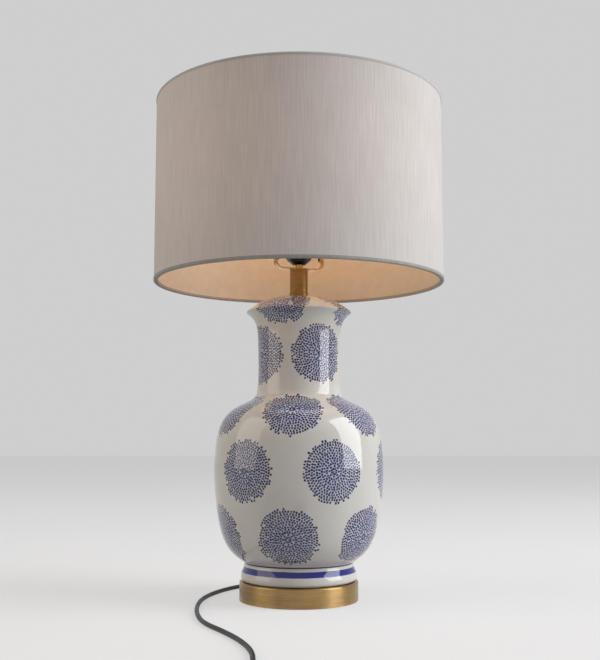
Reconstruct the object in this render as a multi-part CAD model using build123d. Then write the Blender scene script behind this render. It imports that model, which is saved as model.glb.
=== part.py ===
from build123d import *
from math import cos, hypot, pi, radians, sin, tan
import os

# A table lamp: a glazed bottle-shaped jar on a brass base cup, a brass neck tube, a socket with
# its bulb, a wire harp and a linen drum shade, with its supply cord coiled beside it.
# Millimetres. The origin is the centre of the felt pad's underside, +Z is up, the front is -Y.

# ---- Heights of the stack, from the felt up ----
FELT_TOP = 1.2
BOARD_TOP = 4.2
BASE_RIM_BOTTOM = 0.6
BASE_TOP = 22.8
FOOT_BOTTOM = 23.3
JAR_TOP = 364.6
TUBE_BOTTOM = 366.0
TUBE_TOP = 395.0
SADDLE_BOTTOM = 398.8
CAP_BOTTOM = 404.0
SHELL_BOTTOM = 423.0
SHELL_TOP = 463.0
HARP_SEAT = 589.5

# ---- Base ----
BASE_RADIUS = 71.0
BASE_SHEET = 1.2
BASE_EDGE_RADIUS = 2.0
BOARD_RADIUS = 69.6

# ---- Jar, as (radius, height) outlines ----
JAR_WALL = 5.0
ROD_HOLE_RADIUS = 5.7
FOOT_RECESS_RADIUS = 57.0
JAR_FLOOR = (30.0, 36.0)
FOOT_OUTLINE = [(66.0, FOOT_BOTTOM), (68.6, 25.2), (69.4, 28.8), (68.6, 33.0), (66.6, 37.6), (65.2, 44.6)]
BELLY_OUTLINE = [
    (65.2, 44.6), (75.8, 52.5), (84.6, 62.0), (92.0, 77.0), (97.7, 101.0), (101.1, 130.0), (102.0, 156.0),
    (100.8, 181.0), (96.3, 204.0), (88.1, 219.0), (76.6, 228.4), (62.4, 235.4), (53.5, 241.8),
    (50.7, 252.0), (49.6, 280.0), (50.2, 308.0), (52.6, 328.0), (57.2, 337.8), (63.2, 343.4),
]
LIP_EDGE = (64.1, 344.9)
DOME_OUTLINE = [(63.2, 346.4), (54.0, 352.9), (41.0, 359.4), (26.0, 363.2), (13.0, JAR_TOP)]
NECK_TOP_POINT = 16

# ---- Threaded rod and what it clamps ----
ROD_RADIUS = 5.1
ROD_BORE = 3.5
ROD_BOTTOM = 14.5
ROD_TOP = 412.0
ROD_FIT = 0.02
NUT_FLATS = 14.3
NUT_HEIGHT = 4.5
LOCK_WASHER_HEIGHT = 1.0
TUBE_RADIUS = 11.0
TUBE_WALL = 1.0

# ---- Harp, in its own plane, which is turned about the lamp's axis ----
HARP_TURN = 20.0
SADDLE_HALF_WIDTH = 31.45
SADDLE_SHEET = 1.6
SADDLE_STRIP = 10.0
SADDLE_BEND = 9.0
EAR_SHOULDER = 410.5
EAR_TOP = 419.0
EAR_TAB_WIDTH = 3.8
HARP_WIRE_RADIUS = 1.5
HARP_FOOT = 409.5
HARP_CORNERS = [(28.3, HARP_FOOT), (28.3, 441.0), (57.0, 500.0), (57.0, 548.0), (30.0, 586.4), (0.0, 586.4)]
HARP_BENDS = [40.0, 60.0, 50.0, 22.0]
HARP_EYE_RADIUS = 6.0
HARP_EYE_HEIGHTS = (584.1, 588.1)
HARP_EYE_BORE = 2.6
STUD_RADIUS = 3.1
STUD_TOP = 602.0
SLEEVE_AXIS = 29.15
SLEEVE_RADIUS = 4.0
SLEEVE_BORE = 3.3
SLEEVE_HEIGHT = 12.0
TURN_GAP = 0.2
FINIAL_FOOT_RADIUS = 7.0
FINIAL_STEM_RADIUS = 4.4
FINIAL_BALL_RADIUS = 8.3
FINIAL_BALL_CENTRE = 14.5
FINIAL_BUTTON_RADIUS = 3.2
FINIAL_BUTTON_CENTRE = 23.4

# ---- Socket and switch ----
CAP_OUTLINE = [(6.8, CAP_BOTTOM), (11.3, 407.3), (14.8, 410.8), (16.4, 415.0), (16.8, SHELL_BOTTOM)]
CAP_WALL = 2.0
CAP_BUSHING_RADIUS = 6.4
SET_SCREW_HEIGHT = 408.6
SET_SCREW_RADIUS = 1.5
SHELL_RADIUS = 16.6
SHELL_SHEET = 0.6
LINER_RADIUS = 15.9
LINER_WALL = 0.9
SOCKET_BODY_RADIUS = 14.8
SOCKET_BODY_HEIGHTS = (427.0, 440.0)
SCREW_SHELL_BORE = 13.45
SCREW_SHELL_WALL = 0.45
SWITCH_TURN = 20.0
SWITCH_HEIGHT = 433.5
SHAFT_RADIUS = 1.6
SHAFT_GAP = 0.05
KNOB_RADIUS = 5.4
KNOB_REACH = (19.0, 32.0)
KNOB_RIBS = 18

# ---- Bulb ----
BULB_CONTACT_BOTTOM = 441.9
BULB_BASE = (447.0, 468.0)
BULB_THREAD_RADIUS = 13.1
BULB_THREAD_ROOT = 12.7
BULB_THREADS = 5
BULB_THREAD_PITCH = 3.6
BULB_NECK_RADIUS = 12.2
BULB_RADIUS = 30.0
BULB_WIDEST = 519.0
BULB_GLASS = 1.0

# ---- Shade ----
SHADE_BOTTOM = 380.6
SHADE_TOP = 607.1
FABRIC_RADIUS = 177.6
FABRIC_THICKNESS = 0.7
LINER_THICKNESS = 0.8
TRIM_SHEET = 0.5
TRIM_HEIGHT = 4.8
TRIM_DEPTH = 5.2
RING_WIRE_RADIUS = 1.3
RING_GAP = 0.2
HOOP_RADIUS = FABRIC_RADIUS - FABRIC_THICKNESS - LINER_THICKNESS - RING_WIRE_RADIUS - RING_GAP
HOOP_INSET = TRIM_SHEET + RING_WIRE_RADIUS + RING_GAP
SPIDER_WIRE_RADIUS = 1.6
SPIDER_WASHER_RADIUS = 12.0
SPIDER_WASHER_SHEET = 1.5
SPIDER_HOLE_RADIUS = 3.6
SPIDER_ARMS = (90, 210, 330)
SPIDER_ARM_START = 8.4

# ---- Cord ----
CORD_DIAMETER = 5.0
CORD_RADIUS = CORD_DIAMETER / 2
EXIT_HEIGHT = 9.0
EXIT_REACH = 91.5
RELIEF_HOLE_RADIUS = 4.2
COIL_CENTRE = (1.0, -421.0)
COIL_MEAN_RADIUS = 28.4
COIL_TURNS = 6.25
COIL_PITCH = 5.75
COIL_LIFT = 1.0
COIL_TAIL = 21.0
TIE_SHEET = 0.8
TIE_WIDTH = 8.0
TIE_SLACK = 0.6
TIE_ANGLE = 320
COIL_START_RADIUS = COIL_MEAN_RADIUS + COIL_PITCH * COIL_TURNS / 4
COIL_LOW = COIL_LIFT + CORD_RADIUS
COIL_START = (COIL_CENTRE[0] - COIL_START_RADIUS, COIL_CENTRE[1] + CORD_DIAMETER)
CORD_ROUTE = [
    (0, EXIT_REACH, EXIT_HEIGHT), (0, 105.5, EXIT_HEIGHT), (-6.6, 118, 7.2), (-18.4, 125.7, 4.6),
    (-32.4, 127, 3), (-45.3, 121.6, CORD_RADIUS), (-63.5, 101, CORD_RADIUS), (-84.5, 75.5, CORD_RADIUS),
    (-103, 38, CORD_RADIUS), (-114.6, -8, CORD_RADIUS), (-115.6, -58, CORD_RADIUS), (-110.5, -108, CORD_RADIUS),
    (-99, -158, CORD_RADIUS), (-74, -203, CORD_RADIUS), (-54, -247, CORD_RADIUS), (-41, -293, CORD_RADIUS),
    (-38.2, -338, CORD_RADIUS), (COIL_START[0], COIL_START[1] + 38, COIL_LOW),
    (COIL_START[0], COIL_START[1], COIL_LOW),
]

# ---- Plug ----
PLUG_LENGTH = 30.0
PLUG_WIDTH = 24.0
PLUG_BOOT_LENGTH = 16.0
PLUG_BOOT_RADIUS = 4.2
BLADE_SPACING = 12.7
BLADE_WIDTH = 6.35
BLADE_SHEET = 1.5
BLADE_LENGTH = 17.0

ON_BOTTOM = (Align.CENTER, Align.CENTER, Align.MIN)


def disc(radius, low, high):
    """A round plate or rod about the lamp's axis."""
    return Pos(0, 0, low) * Cylinder(radius, high - low, align=ON_BOTTOM)


def ring(outer, inner, low, high):
    """A washer or tube about the lamp's axis."""
    return disc(outer, low, high) - disc(inner, low - 1, high + 1)


def turned(*edges):
    """A solid of revolution about the lamp's axis from edges drawn as (radius, height)."""
    outline = Plane.XZ * make_face(Curve() + list(edges))
    return revolve(outline, Axis.Z, 360)


def side_rod(radius, near, far, height):
    """A rod that lies along +Y from near to far, at a height above the origin."""
    lying = Cylinder(radius, far - near, align=ON_BOTTOM)
    return Pos(0, near, height) * Rot(-90, 0, 0) * lying


def wire_along(path, radius):
    """A round wire or cord swept along a path."""
    section = Plane(path @ 0, z_dir=path % 0) * Circle(radius)
    return sweep(section, path)


def inset(points, depth):
    """Points moved square to their own outline, to its left, by a wall's thickness."""
    moved = []
    for index, (radius, height) in enumerate(points):
        before = points[max(index - 1, 0)]
        after = points[min(index + 1, len(points) - 1)]
        along = (after[0] - before[0], after[1] - before[1])
        length = hypot(*along)
        moved.append((radius - depth * along[1] / length, height + depth * along[0] / length))
    return moved


def lines(*points):
    """The straight edges from point to point."""
    return [Line(start, end) for start, end in zip(points, points[1:])]


# ---- Base and jar ----
def felt_pad():
    return disc(BOARD_RADIUS, 0, FELT_TOP)


def base_board():
    return disc(BOARD_RADIUS, FELT_TOP, BOARD_TOP)


def base_cup():
    """A drawn brass cup, open below, with a rounded top edge and a cord hole at the back."""
    block = disc(BASE_RADIUS, BASE_RIM_BOTTOM, BASE_TOP)
    block = fillet(block.edges().sort_by(Axis.Z)[-1], BASE_EDGE_RADIUS)
    inside = disc(BASE_RADIUS - BASE_SHEET, BASE_RIM_BOTTOM - 1, BASE_TOP - BASE_SHEET)
    inside = fillet(inside.edges().sort_by(Axis.Z)[-1], BASE_EDGE_RADIUS - BASE_SHEET)
    rod_hole = disc(ROD_RADIUS + ROD_FIT, 0, BASE_TOP + 1)
    cord_hole = side_rod(RELIEF_HOLE_RADIUS, BOARD_RADIUS - 5, BASE_RADIUS + 5, EXIT_HEIGHT)
    return block - inside - rod_hole - cord_hole


def foot_gasket():
    return ring(64.5, FOOT_RECESS_RADIUS + 0.5, BASE_TOP, FOOT_BOTTOM)


def ceramic_jar():
    """The hollow cast body with its waisted foot, belly, neck, lip and shallow dome."""
    belly_inside = inset(BELLY_OUTLINE, JAR_WALL)[1:NECK_TOP_POINT + 1]
    dome_inside = inset(DOME_OUTLINE, JAR_WALL)[1:]
    floor_low, floor_top = JAR_FLOOR
    dome_under = dome_inside[-1][1]
    dome_end = (ROD_HOLE_RADIUS, JAR_TOP)
    hole_top = (ROD_HOLE_RADIUS, dome_under)
    hole_floor = (ROD_HOLE_RADIUS, floor_top)
    hole_low = (ROD_HOLE_RADIUS, floor_low)
    outside = [
        *lines(hole_low, (FOOT_RECESS_RADIUS, floor_low), (FOOT_RECESS_RADIUS, FOOT_BOTTOM), FOOT_OUTLINE[0]),
        Spline(*FOOT_OUTLINE),
        Spline(*BELLY_OUTLINE),
        ThreePointArc(BELLY_OUTLINE[-1], LIP_EDGE, DOME_OUTLINE[0]),
        Spline(*DOME_OUTLINE),
        *lines(DOME_OUTLINE[-1], dome_end, hole_top),
    ]
    inside = [
        Line(hole_top, dome_inside[-1]),
        Spline(*reversed(dome_inside)),
        Line(dome_inside[0], belly_inside[-1]),
        Spline(*reversed(belly_inside)),
        *lines(belly_inside[0], (59.0, 46.0), (56.0, floor_top), hole_floor, hole_low),
    ]
    return turned(*outside, *inside)


# ---- Rod, nuts and neck ----
def threaded_rod():
    return ring(ROD_RADIUS, ROD_BORE, ROD_BOTTOM, ROD_TOP)


def bottom_washer():
    return ring(12.0, ROD_RADIUS + ROD_FIT, BASE_TOP - 2 * BASE_SHEET, BASE_TOP - BASE_SHEET)


def lock_washer():
    """A split spring washer under the flat washer."""
    top = BASE_TOP - 2 * BASE_SHEET
    gap = Pos(8, 0, top) * Rot(25, 0, 0) * Box(8, 1.2, 6)
    return ring(8.6, ROD_RADIUS + ROD_FIT, top - LOCK_WASHER_HEIGHT, top) - gap


def bottom_nut():
    top = BASE_TOP - 2 * BASE_SHEET - LOCK_WASHER_HEIGHT
    hexagon = RegularPolygon(NUT_FLATS / 2, 6, major_radius=False)
    body = Pos(0, 0, top - NUT_HEIGHT) * extrude(hexagon, NUT_HEIGHT)
    return body - disc(ROD_RADIUS + ROD_FIT, 0, BASE_TOP)


def seat_washer():
    return ring(10.2, ROD_RADIUS + ROD_FIT, JAR_TOP, TUBE_BOTTOM)


def neck_tube():
    return ring(TUBE_RADIUS, TUBE_RADIUS - TUBE_WALL, TUBE_BOTTOM, TUBE_TOP)


def check_ring():
    """The turned ring that caps the tube, with a spigot inside it."""
    rim = disc(TUBE_RADIUS + 0.2, TUBE_TOP, SADDLE_BOTTOM)
    rim = fillet(rim.edges().filter_by(GeomType.CIRCLE), 0.8)
    spigot = disc(TUBE_RADIUS - TUBE_WALL - ROD_FIT, TUBE_TOP - 4, TUBE_TOP + 0.8)
    return rim + spigot - disc(ROD_RADIUS + ROD_FIT, TUBE_TOP - 5, SADDLE_BOTTOM + 1)


# ---- Harp ----
def harp_saddle():
    """A flat strip with two ears bent up, each narrowed to a tab for its sleeve."""
    edge = SADDLE_HALF_WIDTH - SADDLE_SHEET / 2
    middle = SADDLE_BOTTOM + SADDLE_SHEET / 2
    path = FilletPolyline((-edge, EAR_TOP), (-edge, middle), (edge, middle), (edge, EAR_TOP), radius=SADDLE_BEND)
    strip = extrude(Plane.XZ * trace(path, SADDLE_SHEET), SADDLE_STRIP / 2, both=True)
    boss = disc(9.0, SADDLE_BOTTOM, SADDLE_BOTTOM + SADDLE_SHEET)
    hole = disc(ROD_RADIUS + ROD_FIT, SADDLE_BOTTOM - 1, SADDLE_BOTTOM + 5)
    notch_depth = (SADDLE_STRIP - EAR_TAB_WIDTH) / 2
    notch = Box(90, notch_depth, 20, align=ON_BOTTOM)
    notch_centre = (EAR_TAB_WIDTH + notch_depth) / 2
    notches = [Pos(0, side * notch_centre, EAR_SHOULDER) * notch for side in (-1, 1)]
    return Rot(0, 0, HARP_TURN) * (strip + boss - hole - notches[0] - notches[1])


def harp_wire():
    """The bow of the harp, its feet straight in the sleeves and an eye for the stud on top."""
    mirrored = [(-across, height) for across, height in reversed(HARP_CORNERS[:-1])]
    corners = [(across, 0, height) for across, height in HARP_CORNERS[:-1] + mirrored]
    bends = HARP_BENDS + HARP_BENDS[::-1]
    bow = wire_along(FilletPolyline(*corners, radius=bends), HARP_WIRE_RADIUS)
    low, top = HARP_EYE_HEIGHTS
    eye = disc(HARP_EYE_RADIUS, low, top) - disc(HARP_EYE_BORE, low - 1, top + 1)
    hole = disc(HARP_EYE_RADIUS - 1, low - 1, top + 1)
    return Rot(0, 0, HARP_TURN) * (bow - hole + eye)


def harp_stud():
    """The threaded stud, riveted through the eye, with the flange that the shade sits on."""
    eye_low, flange_bottom = HARP_EYE_HEIGHTS
    stud = disc(STUD_RADIUS, HARP_SEAT, STUD_TOP)
    stud = chamfer(stud.edges().sort_by(Axis.Z)[-1], 0.6)
    flange = disc(7.5, flange_bottom, HARP_SEAT)
    shank = disc(HARP_EYE_BORE - ROD_FIT, eye_low, flange_bottom)
    rivet = disc(4.6, eye_low - 2, eye_low)
    return stud + flange + shank + rivet


def harp_sleeve(side):
    """One of the two sleeves that lock the harp's feet to the saddle's tabs."""
    sleeve = ring(SLEEVE_RADIUS, SLEEVE_BORE, EAR_SHOULDER, EAR_SHOULDER + SLEEVE_HEIGHT)
    return Rot(0, 0, HARP_TURN) * Pos(side * SLEEVE_AXIS, 0, 0) * sleeve


def finial():
    """The turned brass ball that screws down on the stud over the shade."""
    bottom = HARP_SEAT + 2 * TURN_GAP + SPIDER_WASHER_SHEET
    foot = disc(FINIAL_FOOT_RADIUS, bottom, bottom + 3)
    foot = chamfer(foot.edges().sort_by(Axis.Z)[-1], 1.4)
    stem = disc(FINIAL_STEM_RADIUS, bottom, bottom + FINIAL_BALL_CENTRE)
    ball = Pos(0, 0, bottom + FINIAL_BALL_CENTRE) * Sphere(FINIAL_BALL_RADIUS)
    button = Pos(0, 0, bottom + FINIAL_BUTTON_CENTRE) * Sphere(FINIAL_BUTTON_RADIUS)
    return foot + stem + ball + button - disc(STUD_RADIUS + SHAFT_GAP, bottom - 1, STUD_TOP + 1)


# ---- Socket ----
def cap_bushing():
    body = ring(CAP_BUSHING_RADIUS, ROD_RADIUS + ROD_FIT, CAP_BOTTOM, ROD_TOP)
    return body - side_rod(SET_SCREW_RADIUS, ROD_RADIUS - 1, 20, SET_SCREW_HEIGHT)


def socket_cap():
    """The black bowl that carries the socket, round its brass bushing."""
    inside = inset(CAP_OUTLINE, CAP_WALL)[1:-1] + [(CAP_OUTLINE[-1][0] - CAP_WALL, SHELL_BOTTOM)]
    outline = [
        Line((CAP_BUSHING_RADIUS, CAP_BOTTOM), CAP_OUTLINE[0]),
        Spline(*CAP_OUTLINE),
        Line(CAP_OUTLINE[-1], inside[-1]),
        Spline(*reversed(inside)),
        *lines(inside[0], (CAP_BUSHING_RADIUS, 408.0), (CAP_BUSHING_RADIUS, CAP_BOTTOM)),
    ]
    return turned(*outline) - side_rod(SET_SCREW_RADIUS, ROD_RADIUS, 20, SET_SCREW_HEIGHT)


def set_screw():
    """The slotted screw that locks the cap on the rod."""
    screw = side_rod(SET_SCREW_RADIUS, ROD_RADIUS + ROD_FIT, 13.2, SET_SCREW_HEIGHT)
    slot = Pos(0, 13.2, SET_SCREW_HEIGHT) * Box(0.6, 1.6, 4)
    return screw - slot


def switch_hole(radius):
    """The round hole that the switch shaft passes through, towards the front."""
    return Rot(0, 0, SWITCH_TURN) * Pos(0, 0, SWITCH_HEIGHT) * Rot(90, 0, 0) * Cylinder(radius, 40, align=ON_BOTTOM)


def socket_shell():
    """The thin outer shell, with a rolled bead at its mouth."""
    wall = ring(SHELL_RADIUS, SHELL_RADIUS - SHELL_SHEET, SHELL_BOTTOM, SHELL_TOP)
    bead = Pos(0, 0, SHELL_TOP) * Torus(SHELL_RADIUS - 0.1, 0.9)
    mouth = disc(SHELL_RADIUS - SHELL_SHEET, SHELL_TOP - 3, SHELL_TOP + 3)
    return wall + (bead - mouth) - switch_hole(2.3)


def socket_liner():
    wall = ring(LINER_RADIUS, LINER_RADIUS - LINER_WALL, SHELL_BOTTOM + 2, SHELL_TOP + 2)
    return wall - switch_hole(2.3)


def terminal_places():
    """Where the two terminal screws sit on the sides of the socket body."""
    return [Rot(0, 0, SWITCH_TURN + turn) * Pos(12.6, 0, 431.5) * Rot(0, 90, 0) for turn in (0, 180)]


def socket_body():
    """The moulded body that holds the switch and the contacts."""
    low, high = SOCKET_BODY_HEIGHTS
    body = disc(SOCKET_BODY_RADIUS, low, high)
    for place in terminal_places():
        body -= place * Pos(0, 0, 1) * Box(8, 8, 4.6)
        body -= place * Cylinder(1.5, 10)
    return body - switch_hole(SHAFT_RADIUS + SHAFT_GAP)


def terminal_screws():
    screws = []
    for place in terminal_places():
        head = place * (Cylinder(2.8, 1.6) - Pos(0, 0, 0.8) * Box(0.6, 6, 1.2))
        shank = place * Pos(0, 0, -0.8) * Cylinder(1.45, 4, align=(Align.CENTER, Align.CENTER, Align.MAX))
        screws.append(head + shank)
    return screws


def screw_shell():
    """The threaded metal cup that takes the bulb."""
    low = SOCKET_BODY_HEIGHTS[1]
    wall = ring(SCREW_SHELL_BORE + SCREW_SHELL_WALL, SCREW_SHELL_BORE, low, SHELL_TOP - 1)
    return wall + ring(SCREW_SHELL_BORE + SCREW_SHELL_WALL, 8.0, low, low + 0.5)


def centre_contact():
    top = BULB_CONTACT_BOTTOM - TURN_GAP
    return disc(3.6, SOCKET_BODY_HEIGHTS[1], top)


def switch_shaft():
    shaft = side_rod(SHAFT_RADIUS, 2.0, KNOB_REACH[1] - 4, 0)
    return Pos(0, 0, SWITCH_HEIGHT) * Rot(0, 0, 180 + SWITCH_TURN) * shaft


def switch_knob():
    """The ribbed turn knob on the front of the socket."""
    near, far = KNOB_REACH
    knob = side_rod(KNOB_RADIUS, near, far, 0)
    knob = chamfer(knob.edges().filter_by(GeomType.CIRCLE), 0.7)
    for index in range(KNOB_RIBS):
        groove = Pos(KNOB_RADIUS + 0.35, 0, 0) * side_rod(0.6, near + 1.5, far + 1, 0)
        knob -= Rot(0, index * 360 / KNOB_RIBS, 0) * groove
    knob -= side_rod(SHAFT_RADIUS, near - 1, far - 4, 0)
    return Pos(0, 0, SWITCH_HEIGHT) * Rot(0, 0, 180 + SWITCH_TURN) * knob


# ---- Bulb ----
def bulb_envelope():
    """The frosted glass, from its neck in the screw base to its round crown."""
    neck = BULB_BASE[1] - 6
    outer = [(BULB_NECK_RADIUS, BULB_BASE[1]), (15.2, 480.0), (25.4, 499.0), (BULB_RADIUS, BULB_WIDEST)]
    inner = [(radius - BULB_GLASS, height) for radius, height in outer]
    crown = BULB_WIDEST + BULB_RADIUS
    high_outer = (BULB_RADIUS * cos(pi / 4), BULB_WIDEST + BULB_RADIUS * sin(pi / 4))
    inner_radius = BULB_RADIUS - BULB_GLASS
    high_inner = (inner_radius * cos(pi / 4), BULB_WIDEST + inner_radius * sin(pi / 4))
    upright = [(0, 1), (0, 1)]
    return turned(
        Line((BULB_NECK_RADIUS, neck), outer[0]),
        Spline(*outer, tangents=upright),
        ThreePointArc(outer[-1], high_outer, (0, crown)),
        Line((0, crown), (0, crown - BULB_GLASS)),
        ThreePointArc((0, crown - BULB_GLASS), high_inner, inner[-1]),
        Spline(*reversed(inner), tangents=[(0, -1), (0, -1)]),
        *lines(inner[0], (BULB_NECK_RADIUS - BULB_GLASS, neck), (BULB_NECK_RADIUS, neck)),
    )


def bulb_screw_base():
    """The metal screw cap, with its round threads."""
    low, high = BULB_BASE
    outline = [(BULB_NECK_RADIUS, low), (BULB_THREAD_ROOT, low)]
    for index in range(BULB_THREADS):
        valley = low + 0.6 + index * BULB_THREAD_PITCH
        outline.append((BULB_THREAD_ROOT, valley))
        outline.append((BULB_THREAD_RADIUS, valley + BULB_THREAD_PITCH / 2))
    outline += [(BULB_THREAD_ROOT, high - 2), (BULB_THREAD_ROOT, high), (BULB_NECK_RADIUS, high)]
    return turned(*lines(*outline, outline[0]))


def bulb_insulator():
    low = BULB_CONTACT_BOTTOM + 0.7
    rim = (BULB_NECK_RADIUS, BULB_BASE[0])
    rim_top = (BULB_NECK_RADIUS, BULB_BASE[0] + 2)
    return turned(*lines((0, low), (5.0, low), rim, rim_top, (0, BULB_BASE[0] + 2), (0, low)))


def bulb_contact():
    return disc(4.2, BULB_CONTACT_BOTTOM, BULB_CONTACT_BOTTOM + 0.7)


# ---- Shade ----
def shade_wall(radius, thickness):
    return ring(radius, radius - thickness, SHADE_BOTTOM + TRIM_SHEET, SHADE_TOP - TRIM_SHEET)


def shade_fabric():
    return shade_wall(FABRIC_RADIUS, FABRIC_THICKNESS)


def shade_liner():
    return shade_wall(FABRIC_RADIUS - FABRIC_THICKNESS, LINER_THICKNESS)


def shade_bottom_ring():
    """A wire hoop just inside the liner, wrapped in the folded edge."""
    return Pos(0, 0, SHADE_BOTTOM + HOOP_INSET) * Torus(HOOP_RADIUS, RING_WIRE_RADIUS)


def shade_top_ring():
    return Pos(0, 0, SHADE_TOP - HOOP_INSET) * Torus(HOOP_RADIUS, RING_WIRE_RADIUS)


def shade_spider():
    """The washer on the harp and its three arms, which end on the top hoop."""
    washer_bottom = HARP_SEAT + TURN_GAP
    washer = ring(SPIDER_WASHER_RADIUS, SPIDER_HOLE_RADIUS, washer_bottom, washer_bottom + SPIDER_WASHER_SHEET)
    low = washer_bottom + SPIDER_WASHER_SHEET / 2
    high = SHADE_TOP - HOOP_INSET
    path = FilletPolyline((SPIDER_ARM_START, 0, low), (24, 0, low), (HOOP_RADIUS, 0, high), radius=20)
    arm = wire_along(path, SPIDER_WIRE_RADIUS)
    spider = washer
    for angle in SPIDER_ARMS:
        spider += Rot(0, 0, angle) * arm
    return spider - shade_top_ring()


def shade_trim(low, high):
    """The folded strip over one edge of the shade, closed round its hoop."""
    strip = ring(FABRIC_RADIUS + TRIM_SHEET, FABRIC_RADIUS + TRIM_SHEET - TRIM_DEPTH, low, high)
    strip = fillet(strip.edges().filter_by(GeomType.CIRCLE), 0.24)
    wall = FABRIC_THICKNESS + LINER_THICKNESS
    return strip - shade_wall(FABRIC_RADIUS, wall)


def shade_bottom_trim():
    return shade_trim(SHADE_BOTTOM, SHADE_BOTTOM + TRIM_HEIGHT) - shade_bottom_ring()


def shade_top_trim():
    return shade_trim(SHADE_TOP - TRIM_HEIGHT, SHADE_TOP) - shade_top_ring() - shade_spider()


# ---- Cord, coil and plug ----
def route_bends(points):
    """The bend radius at each corner: 0.45 of the shorter run over the tangent of half the turn."""
    bends = []
    for before, here, after in zip(points, points[1:], points[2:]):
        run_in = Vector(*here) - Vector(*before)
        run_out = Vector(*after) - Vector(*here)
        shorter = min(run_in.length, run_out.length)
        half_turn = radians(run_in.get_angle(run_out)) / 2
        bends.append(0.45 * shorter / tan(half_turn))
    return bends


def cord_run():
    """The free cord from its strain relief, round the lamp and along the floor to the coil."""
    bends = route_bends(CORD_ROUTE)
    path = FilletPolyline(*CORD_ROUTE, radius=bends)
    tube = wire_along(path, CORD_RADIUS)
    print("cord run length", round(path.length, 1), "bend radii", [round(bend) for bend in bends])
    print("cord run volume over section times length", round(tube.volume / (pi * CORD_RADIUS**2 * path.length), 4))
    return tube


def coil_point(turn):
    """The coil's centreline after a number of turns: inwards below, then outwards above."""
    to_middle = turn - COIL_TURNS / 2
    radius = COIL_START_RADIUS - COIL_PITCH * COIL_TURNS / 2 + COIL_PITCH * abs(to_middle)
    climbed = 0.0 if to_middle < 0 else 1.0
    if abs(to_middle) < 0.25:
        radius += COIL_PITCH * (2 * to_middle**2 - abs(to_middle) + 0.125)
        climbed = 0.5 + 0.5 * sin(2 * pi * to_middle)
    angle = pi + 2 * pi * turn
    height = COIL_LOW + climbed * (CORD_DIAMETER + 0.5)
    return Vector(COIL_CENTRE[0] + radius * cos(angle), COIL_CENTRE[1] + radius * sin(angle), height)


def coil_heading(turn):
    """The direction of the coil's centreline, square to its radius at both ends."""
    if turn == 0:
        return Vector(0, -1, 0)
    if turn == COIL_TURNS:
        return Vector(1, 0, 0)
    step = 0.001
    return (coil_point(turn + step) - coil_point(turn - step)).normalized()


def biarc(start, start_heading, end, end_heading):
    """Two arcs that meet smoothly and keep the headings at both ends."""
    span = end - start
    headings = start_heading + end_heading
    spread = 2 * (1 - start_heading.dot(end_heading))
    along = span.dot(headings)
    reach = ((along**2 + spread * span.dot(span)) ** 0.5 - along) / spread
    middle = (start + end + (start_heading - end_heading) * reach) / 2
    first = TangentArc(start, middle, tangent=start_heading)
    second = TangentArc(end, middle, tangent=end_heading * -1)
    return [first, second]


def coil_gap(path_points):
    """The least gap between stretches of the coil that are half a turn or more apart."""
    skip = round(len(path_points) / COIL_TURNS / 2)
    least = min(
        (here - there).length
        for index, here in enumerate(path_points)
        for there in path_points[index + skip:]
    )
    return least - CORD_DIAMETER


def cord_coil():
    """The put-away length, wound in and out again in two layers."""
    quarters = round(COIL_TURNS * 4)
    edges = []
    for index in range(quarters):
        first, last = index / 4, (index + 1) / 4
        edges += biarc(coil_point(first), coil_heading(first), coil_point(last), coil_heading(last))
    entry = Vector(*COIL_START, COIL_LOW)
    tail_start = coil_point(COIL_TURNS)
    edges.insert(0, Line(entry, coil_point(0)))
    edges.append(Line(tail_start, tail_start + Vector(COIL_TAIL, 0, 0)))
    path = Wire(edges)
    samples = [path.position_at(index / 900) for index in range(901)]
    print("coil length", round(path.length, 1), "least gap", round(coil_gap(samples), 2))
    return wire_along(path, CORD_RADIUS)


def cord_tie():
    """The band round the coil's turns."""
    outer = COIL_START_RADIUS + CORD_RADIUS + TIE_SLACK
    inner = COIL_START_RADIUS - COIL_PITCH * COIL_TURNS / 2 - CORD_RADIUS - TIE_SLACK
    height = 2 * CORD_DIAMETER + 0.5 + COIL_LIFT + TIE_SHEET + 0.2
    centre = Pos((inner + outer) / 2, 0, 0)
    band = Box(outer - inner + 2 * TIE_SHEET, TIE_WIDTH, height, align=ON_BOTTOM)
    band = fillet(band.edges().filter_by(Axis.Y), 3.0)
    hollow = Pos(0, 0, TIE_SHEET) * Box(outer - inner, TIE_WIDTH + 2, height - 2 * TIE_SHEET, align=ON_BOTTOM)
    hollow = fillet(hollow.edges().filter_by(Axis.Y), 3.0 - TIE_SHEET)
    return Pos(*COIL_CENTRE, 0) * Rot(0, 0, TIE_ANGLE) * centre * (band - hollow)


def plug_place():
    """The end of the coil's tail, where the plug's boot starts, pointing along +X."""
    return Pos(*(coil_point(COIL_TURNS) + Vector(COIL_TAIL, 0, 0)))


def plug_body():
    """The moulded plug, as thick as it is high above the floor on both sides of the cord."""
    height = coil_point(COIL_TURNS).Z
    boot = Rot(0, 90, 0) * Cone(CORD_RADIUS + 0.6, PLUG_BOOT_RADIUS, PLUG_BOOT_LENGTH, align=ON_BOTTOM)
    body = Box(PLUG_LENGTH, PLUG_WIDTH, 2 * height, align=(Align.MIN, Align.CENTER, Align.CENTER))
    body = fillet(body.edges().filter_by(Axis.X), 6.0)
    body = fillet(body.faces().sort_by(Axis.X)[0].edges(), 4.0)
    return plug_place() * (boot + Pos(PLUG_BOOT_LENGTH, 0, 0) * body)


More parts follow.
